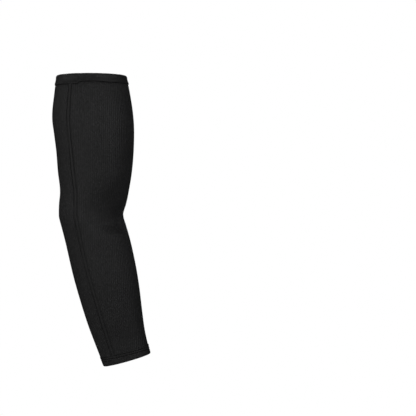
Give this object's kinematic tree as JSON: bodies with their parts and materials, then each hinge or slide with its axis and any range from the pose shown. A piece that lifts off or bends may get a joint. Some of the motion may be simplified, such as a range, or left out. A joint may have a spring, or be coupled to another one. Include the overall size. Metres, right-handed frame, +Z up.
{
  "type": "arm sleeve",
  "caption": "Black stretch-knit arm sleeve, worn shape with a slight elbow bend, flat seams, an elastic upper band and a stitched wrist hem.",
  "frame": {"origin": "middle of the upper opening, where the band grips the upper arm", "axes": "+Z up the upper arm and out of the upper opening, +X toward the inside of the elbow, +Y away from the side with the front seam"},
  "size_m": [0.127, 0.0979, 0.3775],
  "materials": {
    "knit_cloth": "black stretch jersey of polyester and elastane with fine upright ribs and a faint sheen",
    "elastic_band": "the same black jersey folded over elastic, matt",
    "seam_thread": "black woolly nylon thread, matt",
    "hem_cloth": "the same black jersey turned up and sewn with two rows of stitches, matt"
  },
  "bodies": {
    "root": {"upper_band": "elastic_band", "main_panel": "knit_cloth", "elbow_panel": "knit_cloth", "front_seam": "seam_thread", "back_seam": "seam_thread", "wrist_hem": "hem_cloth"}
  },
  "joints": []
}
